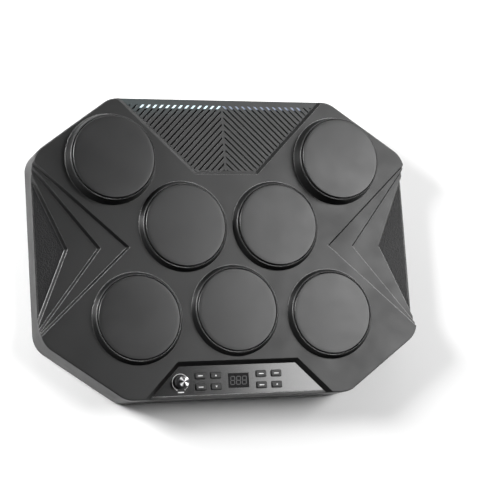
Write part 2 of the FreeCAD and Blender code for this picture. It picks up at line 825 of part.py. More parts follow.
def build_knob():
    """Volume knob with a metal cap on a plain shaft, and the potentiometer that holds it."""
    place = ("knob_across", "control_row")
    skirt = cylinder("skirt", *place, "knob_bottom", "knob_radius", "skirt_height")
    grip = cone("grip", *place, "knob_bottom + skirt_height", "knob_radius - 0.1", "knob_radius - 0.5",
                "knob_top - knob_cap_height - knob_bottom - skirt_height")
    solid = group("knob_solid", [skirt, grip], "Part::MultiFuse")
    bore = cylinder("knob_bore", *place, "knob_bottom - 1", "shaft_radius",
                    "knob_top - knob_cap_height - knob_bottom - 1")
    node(minus("knob", solid, bore), "volume_knob")
    node(cylinder("knob_cap", *place, "knob_top - knob_cap_height", "knob_cap_radius",
                  "knob_cap_height"), "volume_knob_cap")
    node(cylinder("shaft", *place, "board_top + 1", "shaft_radius",
                  "knob_top - knob_cap_height - 2 - board_top - 1"), "volume_shaft")
    case = box("pot_case", *place, "board_top", "pot_size", "pot_size", "panel_ceiling - 0.4 - board_top")
    bushing = cylinder("bushing", *place, "board_top", "bushing_radius",
                       "deck - panel_depth + 0.2 - board_top")
    outside = group("pot_outside", [case, bushing], "Part::MultiFuse")
    hole = cylinder("pot_bore", *place, "board_top + 0.95", "shaft_radius + shaft_clearance", "deck")
    node(minus("pot", outside, hole), "volume_pot")


def build_playing_pads():
    """Foam ring, hard plate and rubber head of every pad."""
    for pad, (across, along, _, _) in PADS.items():
        floor = well_floor(pad)
        ring = cylinder(pad + "_foam_outside", across, along, floor, "foam_outer", "foam_height")
        hole = cylinder(pad + "_foam_hole", across, along, f"{floor} - 1", "foam_inner",
                        "foam_height + 2")
        node(minus(pad + "_foam_ring", ring, hole), "foam_" + pad)
        node(cylinder(pad + "_disc", across, along, f"{floor} + foam_height", "plate_radius",
                      "plate_height"), "plate_" + pad)
        body = new_body("head_" + pad)
        add_circles(body, pad + "_head", "0", [("0", "0", "head_radius")], "head_height")
        round_edges(body, pad + "_head_round", lies_at(size("head_height")), "head_round")
        bind(body, Placement__Base__x=across, Placement__Base__y=along,
             Placement__Base__z=f"{floor} + foam_height + plate_height")
    discs = [cylinder("piezo_" + pad, across, along, well_floor(pad), "piezo_radius", "piezo_thickness")
             for pad, (across, along, _, _) in PADS.items()]
    holes = [cylinder("piezo_hole_" + pad, across, along, f"{well_floor(pad)} - 1",
                      "2 * wall + 0.5", "piezo_thickness + 2")
             for pad, (across, along, _, _) in PADS.items()]
    rings = [minus("piezo_ring_" + pad, disc, hole) for pad, disc, hole in zip(PADS, discs, holes)]
    node(group("piezos", rings), "piezo_sensors")


def build_electronics():
    """Main board, sockets and the sliding power switch."""
    node(box("mainboard", "0", "main_board_along", "cover_top + main_board_post", "main_board_width",
             "main_board_depth", "board_thickness"), "main_board")
    sockets = []
    for k in range(3):
        across = f"jack_first + {k} * jack_pitch"
        barrel = cylinder(f"barrel_{k}", across, "half_depth", "jack_height", "jack_body", "jack_depth")
        turn = FreeCAD.Rotation(FreeCAD.Vector(1, 0, 0), 90)
        barrel.Placement.Rotation = turn
        case = box(f"jack_case_{k}", across, "half_depth - side_wall - jack_case_depth / 2",
                   "jack_height - 5", "jack_case_width", "jack_case_depth", "jack_case_height")
        outside = group(f"jack_outside_{k}", [barrel, case], "Part::MultiFuse")
        bore = cylinder(f"jack_bore_{k}", across, "half_depth", "jack_height", "jack_bore", "jack_depth")
        bore.Placement.Rotation = turn
        sockets.append(minus(f"jack_{k}", outside, bore))
    node(group("jacks", sockets), "jack_sockets")
    node(box("slider", "switch_across", "half_depth - 2.3", "jack_height - slider_height / 2",
             "slider_width", "4", "slider_height"), "power_switch")
    node(box("slider_case", "switch_across + switch_travel / 2", "half_depth - 8.5",
             "jack_height - slider_height", "slider_case_width", "slider_case_depth",
             "2 * slider_height"), "power_switch_case")
    sockets = []
    for k, side in enumerate((-1, 1)):
        across = f"port_across + {side} * port_pitch / 2"
        case = box(f"port_case_{k}", across, "-half_depth + 6", "port_height - 2 * port_wall",
                   "port_width - 0.4", "port_depth", "port_mouth_height + 2 * port_wall")
        mouth = box(f"port_mouth_{k}", across, "-half_depth + 4", "port_height - port_wall",
                    "port_width - 2.4", "port_depth - 2", "port_mouth_height")
        sockets.append(minus(f"port_{k}", case, mouth))
    node(group("ports", sockets), "front_ports")


build_top_housing()
build_bottom_cover()
build_underside()
build_speaker_grille()
build_light_bar()
build_speakers()
build_side_inserts()
build_panel()
build_buttons()
build_knob()
build_playing_pads()
build_electronics()
doc.recompute()

broken = [item.Name for item in doc.Objects if {"Invalid", "Error"} & set(item.State)]
for name, item in NODES.items():
    if item.Shape.isNull() or not item.Shape.isValid() or not item.Shape.Solids:
        broken.append(name)
if broken:
    raise RuntimeError("these objects failed: " + ", ".join(broken))

os.makedirs("parts", exist_ok=True)
for name, item in NODES.items():
    item.Shape.exportStep(f"parts/{name}.step")
print(len(NODES), "pieces written")
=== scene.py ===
"""Looks of a tabletop electronic drum pad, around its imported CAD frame. Lengths are in metres."""
import math

import bpy
from mathutils import Matrix, Vector


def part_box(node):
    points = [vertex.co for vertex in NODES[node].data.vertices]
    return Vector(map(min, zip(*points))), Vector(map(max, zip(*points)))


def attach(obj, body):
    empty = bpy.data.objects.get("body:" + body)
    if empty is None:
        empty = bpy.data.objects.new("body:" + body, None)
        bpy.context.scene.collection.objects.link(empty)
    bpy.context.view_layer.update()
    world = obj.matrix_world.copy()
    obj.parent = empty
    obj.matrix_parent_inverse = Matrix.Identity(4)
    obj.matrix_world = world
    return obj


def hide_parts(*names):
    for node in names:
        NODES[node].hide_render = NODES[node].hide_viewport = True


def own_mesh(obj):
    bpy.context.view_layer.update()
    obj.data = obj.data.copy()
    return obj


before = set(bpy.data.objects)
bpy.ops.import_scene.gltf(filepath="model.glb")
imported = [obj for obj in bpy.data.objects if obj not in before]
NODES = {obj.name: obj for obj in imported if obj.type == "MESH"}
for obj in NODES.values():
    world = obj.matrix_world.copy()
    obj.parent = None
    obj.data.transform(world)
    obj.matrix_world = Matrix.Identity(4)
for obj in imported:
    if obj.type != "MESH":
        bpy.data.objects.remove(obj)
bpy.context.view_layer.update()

MM = 0.001
PADS = [name[len("head_"):] for name in sorted(NODES) if name.startswith("head_")]
BUTTONS = [name for name in sorted(NODES) if name.startswith("button_")]
PANEL_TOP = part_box("panel_overlay")[1].z
GRILLE_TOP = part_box("speaker_grille")[1].z
SKIN_GAP = 0.02 * MM  # clearance of soft pieces above and below
FOAM_HOLE = 36 * MM  # radius of the hole in a foam ring
INK = 0.04 * MM  # thickness of printed marks
LEVEL = 0.95  # height of a unit normal from which a face counts as flat
EDGE_LIGHTENING = 0.5  # added to each colour channel at an edge: slight wear, and a painted highlight where the edge turns to the rear
EDGE_WEAR_AND_HIGHLIGHT = 0.8  # share of the lighter edge colour (wear and painted highlight) at the edge itself
SHARP_ANGLE = math.radians(35)  # edges bent more than this stay sharp


# Shaders

class Shader:
    """A Principled material and short ways to build its nodes on row-frame positions."""

    def __init__(self, name, color, roughness, metallic=0.0, specular=0.5):
        self.material = bpy.data.materials.new(name)
        self.material.use_nodes = True
        self.tree = self.material.node_tree
        self.base = self.tree.nodes["Principled BSDF"]
        self.base.inputs["Base Color"].default_value = (*color, 1)
        self.base.inputs["Roughness"].default_value = roughness
        self.base.inputs["Metallic"].default_value = metallic
        self.base.inputs["Specular IOR Level"].default_value = specular
        self.place = self.add("ShaderNodeTexCoord").outputs["Object"]
        self.normal = None

    def add(self, kind, **settings):
        """Add a node with the given settings."""
        node = self.tree.nodes.new(kind)
        for name, value in settings.items():
            setattr(node, name, value)
        return node

    def link(self, source, target):
        """Connect an output to an input."""
        self.tree.links.new(source, target)

    def noise(self, size, detail=3.0, stretch=(1, 1, 1)):
        """Noise whose features are about size metres across."""
        mapping = self.add("ShaderNodeMapping")
        mapping.inputs["Scale"].default_value = stretch
        self.link(self.place, mapping.inputs["Vector"])
        node = self.add("ShaderNodeTexNoise")
        node.inputs["Scale"].default_value = 1 / size
        node.inputs["Detail"].default_value = detail
        self.link(mapping.outputs["Vector"], node.inputs["Vector"])
        return node.outputs["Fac"]

    def math(self, operation, first, second=0.0):
        """Result of a maths node on two values, each a number or an output."""
        node = self.add("ShaderNodeMath", operation=operation)
        for slot, value in zip(node.inputs, (first, second)):
            if isinstance(value, (int, float)):
                slot.default_value = value
            else:
                self.link(value, slot)
        return node.outputs[0]

    def span(self, value, low, high, start=0.0, end=1.0):
        """Map a value from start..end onto low..high."""
        node = self.add("ShaderNodeMapRange")
        self.link(value, node.inputs["Value"])
        for name, number in (("From Min", start), ("From Max", end), ("To Min", low), ("To Max", high)):
            node.inputs[name].default_value = number
        return node.outputs["Result"]

    def blend(self, factor, first, second):
        """Mix two colours."""
        node = self.add("ShaderNodeMix", data_type="RGBA")
        self.link(factor, node.inputs["Factor"])
        node.inputs["A"].default_value = (*first, 1)
        node.inputs["B"].default_value = (*second, 1)
        return node.outputs["Result"]

    def bump(self, height, distance, strength=1.0):
        """Add a bump on top of the bumps there already are."""
        node = self.add("ShaderNodeBump")
        node.inputs["Strength"].default_value = strength
        node.inputs["Distance"].default_value = distance
        self.link(height, node.inputs["Height"])
        if self.normal:
            self.link(self.normal, node.inputs["Normal"])
        self.normal = node.outputs["Normal"]
        self.link(self.normal, self.base.inputs["Normal"])

    def round_edges(self, radius):
        """Shade sharp edges as if they had a small radius."""
        node = self.add("ShaderNodeBevel", samples=4)
        node.inputs["Radius"].default_value = radius
        self.normal = node.outputs["Normal"]
        self.link(self.normal, self.base.inputs["Normal"])

    def wear_and_edge_highlight(self, base, worn_and_highlit, radius, strength):
        """Lighten the flat top along sharp edges, broken up by noise: slight wear on every edge, and a
        painted highlight, as the rear light would give, where the edge turns to the rear.
        """
        bevel = self.add("ShaderNodeBevel", samples=4)
        bevel.inputs["Radius"].default_value = radius
        geometry = self.add("ShaderNodeNewGeometry")
        compare = self.add("ShaderNodeVectorMath", operation="DOT_PRODUCT")
        self.link(bevel.outputs["Normal"], compare.inputs[0])
        self.link(geometry.outputs["Normal"], compare.inputs[1])
        edge = self.span(compare.outputs["Value"], 1.0, 0.0, 0.93, 0.998)
        patchy = self.span(self.noise(4 * MM), 0.6, 1.0, 0.35, 0.65)
        # painted highlight: edges turned to the rear get the full lightening, the others only 0.15 of it
        # as wear
        rounded = self.add("ShaderNodeSeparateXYZ")
        self.link(bevel.outputs["Normal"], rounded.inputs["Vector"])
        rearward = self.span(rounded.outputs["Y"], 0.15, 1.0, 0.02, 0.25)
        facet = self.add("ShaderNodeSeparateXYZ")
        self.link(geometry.outputs["True Normal"], facet.inputs["Vector"])
        on_top = self.math("GREATER_THAN", facet.outputs["Z"], LEVEL)
        edge = self.math("MULTIPLY", self.math("MULTIPLY", edge, rearward), on_top)
        factor = self.math("MULTIPLY", self.math("MULTIPLY", edge, patchy), strength)
        self.link(self.blend(factor, base, worn_and_highlit), self.base.inputs["Base Color"])

    def mottle(self, low, high, size):
        """Vary the roughness slowly over the surface."""
        value = self.span(self.noise(size), low, high, 0.3, 0.7)
        self.link(value, self.base.inputs["Roughness"])


def moulded_plastic(name, color, roughness, grain=0.35 * MM, depth=0.02 * MM, radius=0.5 * MM):
    """Matte moulded plastic with a fine spark-eroded grain and lighter edges along its flat tops: slight
    wear, and a painted highlight where an edge turns to the rear.
    """
    shader = Shader(name, color, roughness)
    shader.round_edges(radius)
    shader.bump(shader.noise(grain, 2), depth, 0.6)
    shader.bump(shader.noise(4 * grain, 2), 2 * depth, 0.5)
    shader.bump(shader.noise(60 * MM, 1), 0.2 * MM, 0.15)
    shader.mottle(roughness - 0.04, roughness + 0.05, 30 * MM)
    # edge colour: slight wear plus a painted highlight on rear-facing edges
    worn_and_highlit = tuple(channel + EDGE_LIGHTENING for channel in color)
    shader.wear_and_edge_highlight(color, worn_and_highlit, radius, EDGE_WEAR_AND_HIGHLIGHT)
    return shader.material


def pad_rubber():
    """Fine matte rubber with a faint mould grain and slow tonal changes from handling."""
    color = (0.01, 0.01, 0.0102)
    shader = Shader("pad_rubber", color, 0.4, specular=0.5)
    tone = shader.span(shader.noise(45 * MM, 2), 0, 1, 0.35, 0.65)
    shader.link(shader.blend(tone, color, (0.015, 0.015, 0.0153)), shader.base.inputs["Base Color"])
    shader.bump(shader.noise(0.5 * MM, 3), 0.03 * MM, 0.5)
    shader.mottle(0.3, 0.36, 25 * MM)
    return shader.material


def foam():
    """Closed-cell foam."""
    shader = Shader("foam", (0.06, 0.06, 0.065), 0.9)
    cells = shader.add("ShaderNodeTexVoronoi")
    cells.inputs["Scale"].default_value = 1 / (0.8 * MM)
    shader.link(shader.place, cells.inputs["Vector"])
    shader.bump(cells.outputs["Distance"], 0.3 * MM, 0.8)
    return shader.material


def gloss_plastic(name, color, roughness, coat=1.0):
    """Polished plastic under a clear coat, with a slightly uneven surface."""
    shader = Shader(name, color, roughness)
    shader.base.inputs["Coat Weight"].default_value = coat
    shader.base.inputs["Coat Roughness"].default_value = 0.15
    shader.round_edges(0.25 * MM)
    shader.bump(shader.noise(60 * MM, 1), 0.02 * MM, 0.1)
    shader.mottle(roughness, roughness + 0.03, 40 * MM)
    return shader.material


def coarse_grain():
    """Rough textured insert: coarse grain on near-black plastic."""
    shader = Shader("coarse_grain", (0.012, 0.012, 0.013), 0.46, specular=0.32)
    cells = shader.add("ShaderNodeTexVoronoi")
    cells.inputs["Scale"].default_value = 1 / (1.8 * MM)
    shader.link(shader.place, cells.inputs["Vector"])
    shader.bump(cells.outputs["Distance"], 0.35 * MM, 0.9)
    shader.bump(shader.noise(0.5 * MM, 4), 0.15 * MM, 0.8)
    tone = shader.span(cells.outputs["Distance"], 0, 1, 0.1, 0.6)
    shader.link(shader.blend(tone, (0.001, 0.001, 0.0012), (0.006, 0.006, 0.0065)),
                shader.base.inputs["Base Color"])
    return shader.material


def woven_cloth():
    """Black acoustic cloth: crossed wave threads."""
    shader = Shader("woven_cloth", (0.006, 0.006, 0.006), 0.95)
    for direction in ("X", "Y"):
        wave = shader.add("ShaderNodeTexWave", bands_direction=direction)
        wave.inputs["Scale"].default_value = 1 / (0.9 * MM) / 3
        shader.link(shader.place, wave.inputs["Vector"])
        shader.bump(wave.outputs["Fac"], 0.15 * MM, 0.7)
    return shader.material


def metal(name, color, roughness):
    """Plain metal with fine directional machining marks."""
    shader = Shader(name, color, roughness, metallic=1.0)
    shader.round_edges(0.15 * MM)
    shader.bump(shader.noise(0.4 * MM, 2, (1, 20, 1)), 0.01 * MM, 0.5)
    shader.mottle(roughness - 0.05, roughness + 0.1, 3 * MM)
    return shader.material


def spun_metal(centre):
    """Turned cap: its highlights in two crossed bow ties are painted in and glow a little."""
    shader = Shader("spun_metal", (0.3, 0.3, 0.305), 0.28, metallic=1.0)
    offset = shader.add("ShaderNodeVectorMath", operation="SUBTRACT")
    offset.inputs[1].default_value = centre
    shader.link(shader.place, offset.inputs[0])
    split = shader.add("ShaderNodeSeparateXYZ")
    shader.link(offset.outputs["Vector"], split.inputs["Vector"])
    turn = shader.math("ARCTAN2", split.outputs["Y"], split.outputs["X"])
    lobes = shader.math("ABSOLUTE", shader.math("SINE", shader.math("MULTIPLY", turn, 2)))
    narrow = shader.math("POWER", lobes, 5.0)
    lean = shader.span(shader.math("COSINE", turn), 0.45, 1.0, -1.0, 0.6)
    factor = shader.math("MULTIPLY", narrow, lean)
    shader.link(shader.blend(factor, (0.012, 0.012, 0.013), (0.95, 0.95, 0.96)),
                shader.base.inputs["Base Color"])
    glint = shader.math("MULTIPLY", factor, 0.55)
    shader.base.inputs["Emission Color"].default_value = (1, 1, 1, 1)
    shader.link(glint, shader.base.inputs["Emission Strength"])
    shader.bump(shader.noise(0.3 * MM, 2), 0.004 * MM, 0.3)
    return shader.material


def light_guides():
    """Light guides: lit cool white on the left half, dim blue on the right half."""
    shader = Shader("light_guides", (0.16, 0.18, 0.22), 0.3)
    split = shader.add("ShaderNodeSeparateXYZ")
    shader.link(shader.place, split.inputs["Vector"])
    across = split.outputs["X"]
    ramp = shader.add("ShaderNodeValToRGB")
    stops = [(0.0, (0.8, 0.97, 1.0)), (0.49, (0.72, 0.95, 1.0)),
             (0.51, (0.42, 0.58, 1.0)), (1.0, (0.3, 0.42, 1.0))]
    elements = ramp.color_ramp.elements
    while len(elements) < len(stops):
        elements.new(0.5)
    for element, (spot, color) in zip(elements, stops):
        element.position = spot
        element.color = (*color, 1)
    half = 108 * MM
    shader.link(shader.span(across, 0, 1, -half, half), ramp.inputs["Fac"])
    shader.link(ramp.outputs["Color"], shader.base.inputs["Emission Color"])
    fade = shader.span(across, 1.25, 0.12, -0.01 * half, 0.01 * half)
    flicker = shader.span(shader.noise(7 * MM, 1), 0.85, 1.1, 0.35, 0.65)
    window_depth = 1.2 * MM
    top = shader.math("GREATER_THAN", split.outputs["Z"], GRILLE_TOP - window_depth)
    strength = shader.math("MULTIPLY", shader.math("MULTIPLY", fade, flicker), top)
    shader.link(strength, shader.base.inputs["Emission Strength"])
    return shader.material


def add_light_halo(material):
    """Faint cool glow of the lit windows on the grille around them, strongest on the left."""
    tree = material.node_tree
    base = tree.nodes["Principled BSDF"]
    low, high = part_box("led_light_bar")
    split = tree.nodes.new("ShaderNodeSeparateXYZ")
    place = tree.nodes.new("ShaderNodeTexCoord").outputs["Object"]
    tree.links.new(place, split.inputs["Vector"])
    near = tree.nodes.new("ShaderNodeMapRange")
    near.interpolation_type = "SMOOTHERSTEP"
    tree.links.new(split.outputs["Y"], near.inputs["Value"])
    left = tree.nodes.new("ShaderNodeMapRange")
    tree.links.new(split.outputs["X"], left.inputs["Value"])
    spread = 18 * MM
    reach = ((near, low.y - spread, high.y, 0, 1), (left, low.x, 0.2 * high.x, 0.03, 0.004))
    for node, start, end, first, last in reach:
        for name, number in (("From Min", start), ("From Max", end), ("To Min", first), ("To Max", last)):
            node.inputs[name].default_value = number
    product = tree.nodes.new("ShaderNodeMath")
    product.operation = "MULTIPLY"
    tree.links.new(near.outputs["Result"], product.inputs[0])
    tree.links.new(left.outputs["Result"], product.inputs[1])
    tree.links.new(product.outputs[0], base.inputs["Emission Strength"])
    base.inputs["Emission Color"].default_value = (0.45, 0.9, 1.0, 1)


def circuit_board():
    """Solder mask over tracks: faint lighter lines in a cell pattern."""
    shader = Shader("circuit_board", (0.01, 0.09, 0.03), 0.35)
    tracks = shader.add("ShaderNodeTexBrick")
    tracks.inputs["Scale"].default_value = 1 / (18 * MM)
    tracks.inputs["Color1"].default_value = (0.01, 0.09, 0.03, 1)
    tracks.inputs["Color2"].default_value = (0.012, 0.11, 0.04, 1)
    tracks.inputs["Mortar"].default_value = (0.03, 0.2, 0.08, 1)
    shader.link(shader.place, tracks.inputs["Vector"])
    shader.link(tracks.outputs["Color"], shader.base.inputs["Base Color"])
    shader.bump(tracks.outputs["Fac"], 0.05 * MM, 0.4)
    return shader.material


def smoked_window():
    """Dark window over the display."""
    shader = Shader("smoked_window", (0.003, 0.003, 0.0035), 0.35, specular=0.1)
    shader.bump(shader.noise(12 * MM, 1), 0.02 * MM, 0.2)
    shader.mottle(0.26, 0.34, 6 * MM)
    return shader.material


def print_ink(name, color):
    """Screen-printed ink with slightly uneven cover."""
    shader = Shader(name, color, 0.5)
    dim = tuple(0.8 * channel for channel in color)
    tone = shader.span(shader.noise(0.8 * MM, 2), 0, 1, 0.3, 0.6)
    shader.link(shader.blend(tone, dim, color), shader.base.inputs["Base Color"])
    shader.bump(shader.noise(0.2 * MM), 0.01 * MM, 0.4)
    return shader.material


# Meshes

def new_piece(name, vertices, faces, body, material, smooth=True):
    """Mesh object that rides a body and has its place in a material slot."""
    mesh = bpy.data.meshes.new(name)
    mesh.from_pydata([tuple(v) for v in vertices], [], faces)
    mesh.validate()
    mesh.update()
    for polygon in mesh.polygons:
        polygon.use_smooth = smooth
    piece = bpy.data.objects.new(name, mesh)
    bpy.context.scene.collection.objects.link(piece)
    piece.data.materials.append(material)
    if smooth:
        mesh.set_sharp_from_angle(angle=SHARP_ANGLE)
    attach(piece, body)
    return piece


def revolved(name, centre, profile, body, material, segments=160, flute=None):
    """Closed solid of a (radius, height) profile about an upright axis; flute varies the radius."""
    vertices, faces = [], []
    for radius, height in profile:
        for k in range(segments):
            angle = 2 * math.pi * k / segments
            reach = radius + (flute(radius, height, angle) if flute else 0)
            across, along = reach * math.cos(angle), reach * math.sin(angle)
            vertices.append((centre[0] + across, centre[1] + along, height))
    count = len(profile)
    for ring in range(count - 1):
        for k in range(segments):
            following = (k + 1) % segments
            faces.append((ring * segments + k, ring * segments + following,
                          (ring + 1) * segments + following, (ring + 1) * segments + k))
    faces.append(tuple(range(segments))[::-1])
    faces.append(tuple((count - 1) * segments + k for k in range(segments)))
    return new_piece(name, vertices, faces, body, material)


def ring_solid(name, centre, section, body, material, segments=160, axis="Z"):
    """Closed ring swept from a closed (radius, height) section."""
    vertices, faces = [], []
    count = len(section)
    for k in range(segments):
        angle = 2 * math.pi * k / segments
        for radius, height in section:
            flat = (radius * math.cos(angle), radius * math.sin(angle))
            offset = (flat[0], flat[1], height) if axis == "Z" else (flat[0], height, -flat[1])
            vertices.append(tuple(centre[i] + offset[i] for i in range(3)))
    for k in range(segments):
        following = (k + 1) % segments
        for j in range(count):
            other = (j + 1) % count
            faces.append((k * count + j, following * count + j,
                          following * count + other, k * count + other))
    return new_piece(name, vertices, faces, body, material)


def plate(name, outline, bottom, thickness, body, material):
    """Thin flat solid over a closed outline of (x, y)."""
    count = len(outline)
    vertices = [(x, y, bottom) for x, y in outline] + [(x, y, bottom + thickness) for x, y in outline]
    faces = [tuple(range(count))[::-1], tuple(range(count, 2 * count))]
    faces += [(k, (k + 1) % count, (k + 1) % count + count, k + count) for k in range(count)]
    return new_piece(name, vertices, faces, body, material, smooth=False)


def ring_plate(name, outer, inner, bottom, thickness, body, material):
    """Thin flat frame between two closed outlines with the same number of points."""
    count = len(outer)
    vertices = [(x, y, height) for height in (bottom, bottom + thickness)
                for loop in (outer, inner) for x, y in loop]
    faces = []
    for k in range(count):
        following = (k + 1) % count
        faces.append((k, count + k, count + following, following))
        faces.append((k, following, 2 * count + following, 2 * count + k))
        faces.append((2 * count + k, 2 * count + following, 3 * count + following, 3 * count + k))
        faces.append((count + k, 3 * count + k, 3 * count + following, count + following))
    return new_piece(name, vertices, faces, body, material, smooth=False)


def centre_of(node):
    """Middle of a CAD node's box."""
    low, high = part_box(node)
    return (low + high) / 2


def arc_points(centre, radius, start, end, count):
    """Points on an arc, angles in degrees."""
    step = (end - start) / (count - 1)
    return [(centre[0] + radius * math.cos(math.radians(start + step * k)),
             centre[1] + radius * math.sin(math.radians(start + step * k))) for k in range(count)]


def rounded_bar(centre, width, depth, corner, steps=5):
    """Outline of a rectangle with rounded corners."""
    points = []
    for sx, sy, start in ((1, 1, 0), (-1, 1, 90), (-1, -1, 180), (1, -1, 270)):
        middle = (centre[0] + sx * (width / 2 - corner), centre[1] + sy * (depth / 2 - corner))
        points += arc_points(middle, corner, start, start + 90, steps)
    return points


# Soft parts

def build_pad_skins(material):
    """Rubber heads: a rounded disc with a soft crown, over the CAD head's own space."""
    for pad in PADS:
        low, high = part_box("head_" + pad)
        centre = (low + high) / 2
        outer = (high.x - low.x) / 2 - 0.3 * MM
        edge, crown, chamfer = 1.1 * MM, 0.35 * MM, 0.6 * MM
        edge_steps, crown_steps = 8, 12
        top = high.z - SKIN_GAP
        profile = [(outer - chamfer, low.z + SKIN_GAP), (outer, low.z + chamfer)]
        side = top - crown - edge
        for k in range(edge_steps + 1):
            angle = math.radians(90 * k / edge_steps)
            profile.append((outer - edge + edge * math.cos(angle), side + edge * math.sin(angle)))
        for k in range(1, crown_steps):
            radius = (outer - edge) * (1 - k / crown_steps)
            profile.append((radius, top - crown * (radius / (outer - edge)) ** 2))
        profile.append((0.2 * MM, top))
        piece = revolved("pad_skin_" + pad, centre, profile, "pad_" + pad, material, 192)
        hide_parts("head_" + pad)


def build_foam_rings(material):
    """Foam rings with bulging sides."""
    for pad in PADS:
        low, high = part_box("foam_" + pad)
        centre = (low + high) / 2
        bulge, steps = 0.4 * MM, 6
        outer = (high.x - low.x) / 2 - bulge
        inner = FOAM_HOLE + bulge
        bottom, top = low.z + SKIN_GAP, high.z - SKIN_GAP
        section = []
        for k in range(steps + 1):
            share = k / steps
            section.append((outer + bulge * math.sin(math.pi * share), bottom + (top - bottom) * share))
        for k in range(steps + 1):
            share = 1 - k / steps
            section.append((inner - bulge * math.sin(math.pi * share), bottom + (top - bottom) * share))
        place = Vector((centre.x, centre.y, 0))
        piece = ring_solid("foam_ring_" + pad, place, section, "root", material, 96)
        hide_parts("foam_" + pad)
        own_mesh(piece)


# Control panel details

def build_knob_grip(material):
    """Round grip of the volume knob with a foot flange and fine flutes."""
    low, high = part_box("volume_knob")
    centre = (low + high) / 2
    radius = (high.x - low.x) / 2 - 0.35 * MM
    flutes, flute_depth = 30, 0.28 * MM
    bore = 3.2 * MM
    taper, levels = 0.35 * MM, 10
    side_bottom, side_height = low.z + 1.6 * MM, high.z - low.z - 2.6 * MM

    def flute(reach, height, angle):
        """Shallow grip flutes on the outside, none at the ends."""
        if reach < radius - 1 * MM or not low.z + 1.5 * MM < height < high.z - 0.8 * MM:
            return 0
        return flute_depth * math.cos(flutes * angle)

    base = [(bore, low.z), (radius - 0.2 * MM, low.z)]
    side = [(radius + 0.3 * MM, low.z + 0.3 * MM), (radius + 0.3 * MM, low.z + 1.3 * MM)]
    side += [(radius - taper * k / levels, side_bottom + k * side_height / levels)
             for k in range(levels + 1)]
    rim = [(radius - 0.45 * MM, high.z - 0.7 * MM), (radius - 0.7 * MM, high.z - 0.25 * MM),
           (radius - 1.1 * MM, high.z), (bore, high.z)]
    piece = revolved("knob_grip", centre, base + side + rim, "volume", material, 300, flute)
    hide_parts("volume_knob")


def build_knob_cap(material):
    """Turned metal cap with a raised rim and a slightly domed middle."""
    centre = centre_of("volume_knob")
    low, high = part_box("volume_knob_cap")
    radius = (high.x - low.x) / 2
    top = high.z
    dome, rings = 0.15 * MM, 10
    profile = [(radius - 0.4 * MM, low.z + SKIN_GAP), (radius, low.z + 0.15 * MM),
               (radius, top - 0.45 * MM), (radius - 0.12 * MM, top - 0.25 * MM),
               (radius - 0.35 * MM, top - 0.15 * MM), (radius - 0.6 * MM, top - 0.2 * MM)]
    profile += [(radius * (1 - k / rings) - 0.1 * MM, top - 0.2 * MM + dome * (k / rings) ** 0.5)
                for k in range(2, rings)]
    profile.append((0.1 * MM, top - 0.05 * MM))
    piece = revolved("knob_cap", centre, profile, "volume", material, 160)
    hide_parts("volume_knob_cap")


def build_knob_mark(ink):
    """Pointer mark near the rear edge of the cap."""
    centre = centre_of("volume_knob")
    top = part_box("volume_knob_cap")[1].z
    half, near, far = 0.25 * MM, centre.y + 3.6 * MM, centre.y + 5.6 * MM
    left, right = centre.x - half, centre.x + half
    mark = [(left, near), (right, near), (right, far), (left, far)]
    plate("knob_mark", mark, top - 0.12 * MM, 0.1 * MM, "volume", ink)


def build_scale(ink):
    """Printed volume scale: an arc around the knob, end dots and a short bar below it."""
    centre = centre_of("volume_knob")
    right_end, left_end, points = -52, 232, 60
    outer = arc_points(centre, 10.2 * MM, right_end, left_end, points)
    inner = arc_points(centre, 9.7 * MM, left_end, right_end, points)
    plate("scale_arc", outer + inner, PANEL_TOP, INK, "root", ink)
    for k, angle in enumerate((-60, 240)):
        spot = arc_points(centre, 10 * MM, angle, angle + 1, 2)[0]
        dot = arc_points(spot, 0.7 * MM, 0, 345, 24)
        plate(f"scale_dot_{k}", dot, PANEL_TOP, INK, "root", ink)
    bar = rounded_bar((centre.x, centre.y - 11.6 * MM), 7.5 * MM, 1.1 * MM, 0.4 * MM)
    plate("scale_label", bar, PANEL_TOP, INK, "root", ink)


def segment_outline(centre, length, width, upright):
    """Six-sided bar of a seven-segment digit."""
    half, side = length / 2, width / 2
    points = [(-half, 0), (-half + side, -side), (half - side, -side),
              (half, 0), (half - side, side), (-half + side, side)]
    if upright:
        points = [(-y, x) for x, y in points]
    return [(centre[0] + x, centre[1] + y) for x, y in points]


def build_digits(material):
    """Three unlit seven-segment digits on the display."""
    centre = centre_of("display_window")
    width, height, bar = 4.9 * MM, 9.4 * MM, 0.95 * MM
    pitch, slant, gap = 7.3 * MM, 0.09, 0.3 * MM
    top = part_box("display_window")[1].z
    spots = [(0, height / 2, False), (0, 0, False), (0, -height / 2, False)]
    spots += [(sx * width / 2, sy * height / 4, True) for sx in (-1, 1) for sy in (-1, 1)]
    for digit in range(3):
        middle = centre.x + (digit - 1) * pitch
        for k, (x, y, upright) in enumerate(spots):
            length = (height / 2 if upright else width) - gap
            outline = segment_outline((middle + x + slant * y, centre.y + y), length, bar, upright)
            plate(f"digit_{digit}_{k}", outline, top, 0.03 * MM, "root", material)


def build_button_marks(ink):
    """Generic printed marks on the buttons: arrows, a dot and plain bars."""
    arrows = {"button_rear_2": 1, "button_front_2": -1}
    for name in BUTTONS:
        low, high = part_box(name)
        centre = (low + high) / 2
        top = high.z
        body = "key_" + name
        if name in arrows:
            half, rise = 1.3 * MM, arrows[name] * 1.15 * MM
            outline = [(centre.x - half, centre.y - rise), (centre.x + half, centre.y - rise),
                       (centre.x, centre.y + rise)]
            outline = outline if rise > 0 else outline[::-1]
        elif name == "button_front_4":
            outline = arc_points(centre, 0.9 * MM, 0, 345, 24)
        else:
            outline = rounded_bar(centre, 6.0 * MM, 1.0 * MM, 0.45 * MM)
        plate("mark_" + name, outline, top - 0.01 * MM, INK, body, ink)


